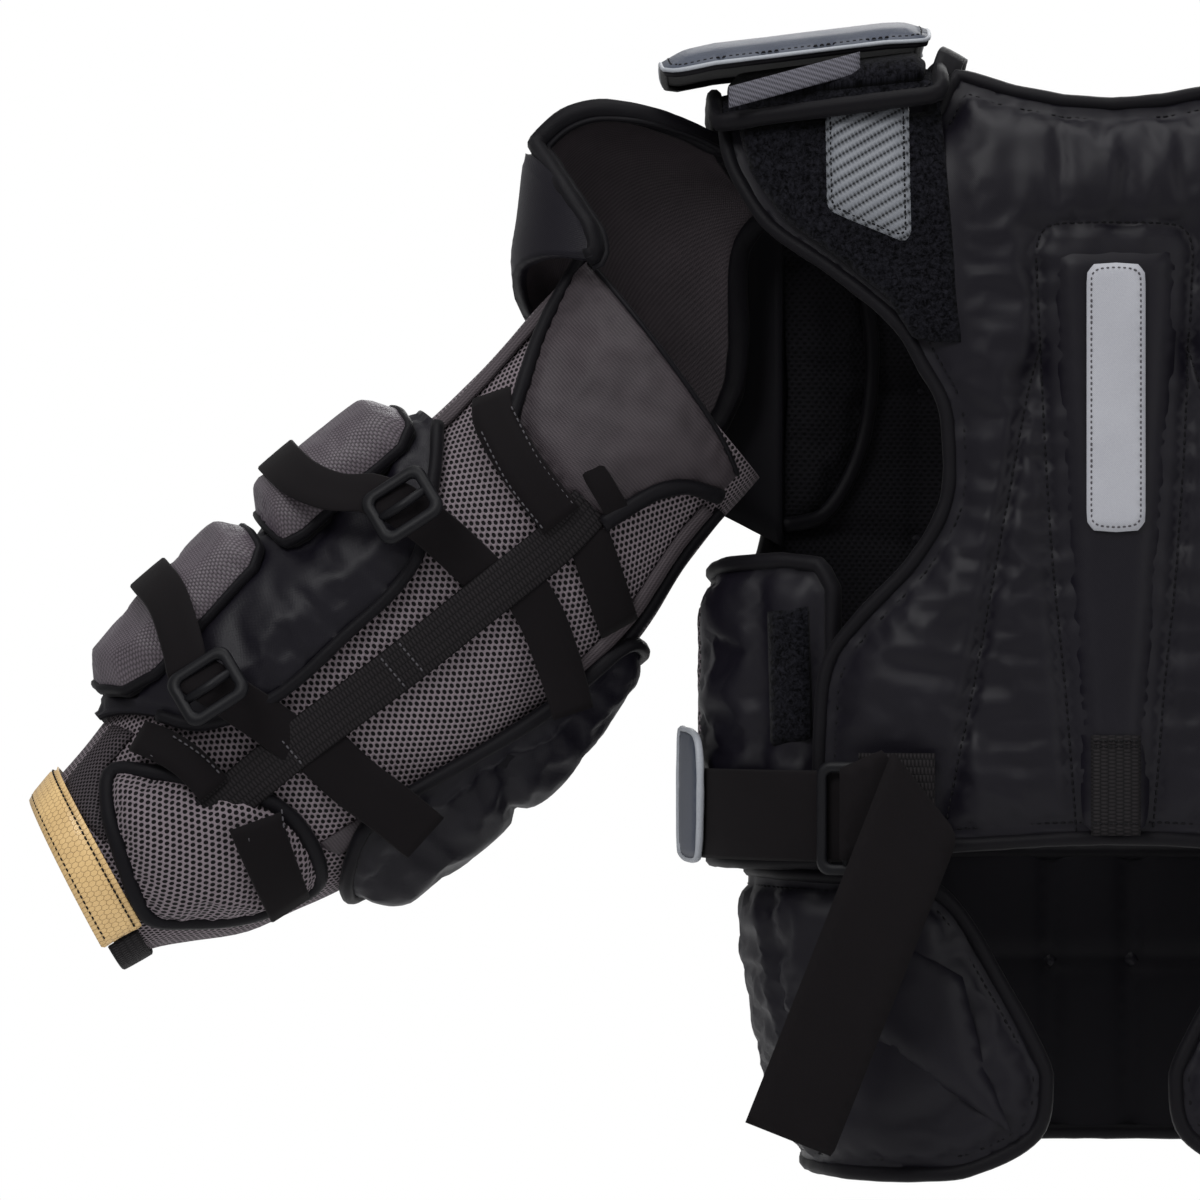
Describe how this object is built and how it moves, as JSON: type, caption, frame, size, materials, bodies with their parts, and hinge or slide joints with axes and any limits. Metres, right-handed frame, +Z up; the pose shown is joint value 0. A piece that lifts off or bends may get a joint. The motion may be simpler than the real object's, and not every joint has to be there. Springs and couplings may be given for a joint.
{
  "type": "ice hockey goaltender chest and arm protector",
  "caption": "Padded chest, belly and back panels with strapped sleeves: flared shoulder guards, floating elbow pads, leather cuff bands and elastic body straps with slides.",
  "frame": {"origin": "middle of the back of the neckline, where the wearer's shoulders carry the garment", "axes": "+X to the wearer's right, +Y to the wearer's front, +Z up"},
  "size_m": [1.2246, 0.303, 0.6403],
  "materials": {
    "satin_nylon": "quilted satin nylon over foam, near black",
    "spacer_mesh": "grey spacer mesh with black holes",
    "grey_lining": "fine woven stretch lining, warm dark grey",
    "loop_cloth": "fuzzy black loop cloth",
    "ribbed_cloth": "ribbed grid fabric over moulded foam",
    "webbing": "ribbed polypropylene webbing",
    "elastic": "matte knitted elastic, black",
    "carbon_leather": "grey synthetic leather with a carbon weave emboss",
    "gold_leather": "tan gold synthetic leather with a hexagon emboss",
    "silver_leather": "blue-grey satin synthetic leather with silver edging",
    "plain_patch": "plain embossed patch without any mark",
    "moulded_plastic": "satin black nylon moulding"
  },
  "bodies": {
    "torso": {"back_panel": "satin_nylon", "spine_pad": "satin_nylon", "spine_patch": "plain_patch", "spine_keeper": "webbing", "chest_panel": "satin_nylon", "left_shoulder_loop": "loop_cloth", "left_shoulder_tab": "carbon_leather", "left_yoke_flap": "loop_cloth", "left_yoke_webbing": "webbing", "left_rib_wing": "satin_nylon", "left_body_strap": "elastic", "left_strap_anchor": "webbing", "left_side_tab": "silver_leather", "right_shoulder_loop": "loop_cloth", "right_shoulder_tab": "carbon_leather", "right_yoke_flap": "loop_cloth", "right_yoke_webbing": "webbing", "right_rib_wing": "satin_nylon", "right_body_strap": "elastic", "right_strap_anchor": "webbing", "right_side_tab": "silver_leather"},
    "belly": {"belly_panel": "satin_nylon", "left_belly_wing": "satin_nylon", "right_belly_wing": "satin_nylon"},
    "left_shoulder_cap": {"left_shoulder_cap": "silver_leather"},
    "left_upper_arm": {"left_shoulder_guard": "grey_lining", "left_upper_sleeve": "spacer_mesh", "left_elbow_gusset": "spacer_mesh", "left_elbow_wing": "satin_nylon", "left_arm_webbing": "webbing"},
    "left_forearm": {"left_forearm_sleeve": "spacer_mesh", "left_cuff_band": "gold_leather", "left_wrist_elastic": "elastic"},
    "left_elbow_pad": {"left_elbow_backing": "satin_nylon", "left_elbow_cap_upper": "ribbed_cloth", "left_elbow_cap_lower": "ribbed_cloth", "left_cross_strap_upper": "elastic", "left_cross_strap_lower": "elastic"},
    "left_arm_slide_upper": {"left_arm_slide_upper": "moulded_plastic"},
    "left_arm_slide_lower": {"left_arm_slide_lower": "moulded_plastic"},
    "left_body_slide": {"left_body_slide": "moulded_plastic"},
    "left_strap_tail": {"left_strap_tail": "elastic"},
    "right_shoulder_cap": {"right_shoulder_cap": "silver_leather"},
    "right_upper_arm": {"right_shoulder_guard": "grey_lining", "right_upper_sleeve": "spacer_mesh", "right_elbow_gusset": "spacer_mesh", "right_elbow_wing": "satin_nylon", "right_arm_webbing": "webbing"},
    "right_forearm": {"right_forearm_sleeve": "spacer_mesh", "right_cuff_band": "gold_leather", "right_wrist_elastic": "elastic"},
    "right_elbow_pad": {"right_elbow_backing": "satin_nylon", "right_elbow_cap_upper": "ribbed_cloth", "right_elbow_cap_lower": "ribbed_cloth", "right_cross_strap_upper": "elastic", "right_cross_strap_lower": "elastic"},
    "right_arm_slide_upper": {"right_arm_slide_upper": "moulded_plastic"},
    "right_arm_slide_lower": {"right_arm_slide_lower": "moulded_plastic"},
    "right_body_slide": {"right_body_slide": "moulded_plastic"},
    "right_strap_tail": {"right_strap_tail": "elastic"}
  },
  "joints": [
    {"name": "belly_fold", "type": "hinge", "parent": "torso", "child": "belly", "pos_m": [0, 0.151, -0.408], "axis": [1, 0, 0], "range_deg": [0, 28]},
    {"name": "left_shoulder_raise", "type": "hinge", "parent": "torso", "child": "left_upper_arm", "pos_m": [-0.205, 0, 0], "axis": [0, 1, 0], "range_deg": [0, 40]},
    {"name": "left_cap_lift", "type": "hinge", "parent": "torso", "child": "left_shoulder_cap", "pos_m": [-0.099, 0, 0.04], "axis": [0, 1, 0], "range_deg": [0, 25]},
    {"name": "left_elbow_bend", "type": "hinge", "parent": "left_upper_arm", "child": "left_forearm", "pos_m": [-0.40658, 0, -0.30653], "axis": [0.371, -0.8192, -0.4375], "range_deg": [0, 65], "deforming": ["left_elbow_gusset", "left_elbow_wing", "left_arm_webbing"]},
    {"name": "left_elbow_pad_follow", "type": "hinge", "parent": "left_upper_arm", "child": "left_elbow_pad", "pos_m": [-0.40658, 0, -0.30653], "axis": [0.371, -0.8192, -0.4375], "range_deg": [0, 33]},
    {"name": "left_arm_slide_upper_move", "type": "slide", "parent": "left_elbow_pad", "child": "left_arm_slide_upper", "axis": [0.5851, -0.4261, -0.69], "range_m": [-0.006, 0.01]},
    {"name": "left_arm_slide_lower_move", "type": "slide", "parent": "left_elbow_pad", "child": "left_arm_slide_lower", "axis": [0.5863, -0.4221, -0.6914], "range_m": [-0.006, 0.01]},
    {"name": "left_body_slide_move", "type": "slide", "parent": "torso", "child": "left_body_slide", "axis": [-0.9455, 0.3256, 0], "range_m": [0, 0.025]},
    {"name": "left_tail_swing", "type": "hinge", "parent": "left_body_slide", "child": "left_strap_tail", "pos_m": [-0.134, -0.1335, -0.372], "axis": [-0.9695, 0, 0.245], "range_deg": [0, 60]},
    {"name": "right_shoulder_raise", "type": "hinge", "parent": "torso", "child": "right_upper_arm", "pos_m": [0.205, 0, 0], "axis": [0, -1, 0], "range_deg": [0, 40]},
    {"name": "right_cap_lift", "type": "hinge", "parent": "torso", "child": "right_shoulder_cap", "pos_m": [0.099, 0, 0.04], "axis": [0, -1, 0], "range_deg": [0, 25]},
    {"name": "right_elbow_bend", "type": "hinge", "parent": "right_upper_arm", "child": "right_forearm", "pos_m": [0.40658, 0, -0.30653], "axis": [0.371, 0.8192, 0.4375], "range_deg": [0, 65], "deforming": ["right_elbow_gusset", "right_elbow_wing", "right_arm_webbing"]},
    {"name": "right_elbow_pad_follow", "type": "hinge", "parent": "right_upper_arm", "child": "right_elbow_pad", "pos_m": [0.40658, 0, -0.30653], "axis": [0.371, 0.8192, 0.4375], "range_deg": [0, 33]},
    {"name": "right_arm_slide_upper_move", "type": "slide", "parent": "right_elbow_pad", "child": "right_arm_slide_upper", "axis": [-0.5851, -0.4261, -0.69], "range_m": [-0.006, 0.01]},
    {"name": "right_arm_slide_lower_move", "type": "slide", "parent": "right_elbow_pad", "child": "right_arm_slide_lower", "axis": [-0.5863, -0.4221, -0.6914], "range_m": [-0.006, 0.01]},
    {"name": "right_body_slide_move", "type": "slide", "parent": "torso", "child": "right_body_slide", "axis": [0.9455, 0.3256, 0], "range_m": [0, 0.025]},
    {"name": "right_tail_swing", "type": "hinge", "parent": "right_body_slide", "child": "right_strap_tail", "pos_m": [0.134, -0.1335, -0.372], "axis": [-0.9695, 0, -0.245], "range_deg": [0, 60]}
  ],
  "couplings": [
    {"joint": "left_cap_lift", "follows": "left_shoulder_raise", "ratio": 0.6},
    {"joint": "left_elbow_pad_follow", "follows": "left_elbow_bend", "ratio": 0.5},
    {"joint": "right_cap_lift", "follows": "right_shoulder_raise", "ratio": 0.6},
    {"joint": "right_elbow_pad_follow", "follows": "right_elbow_bend", "ratio": 0.5}
  ]
}
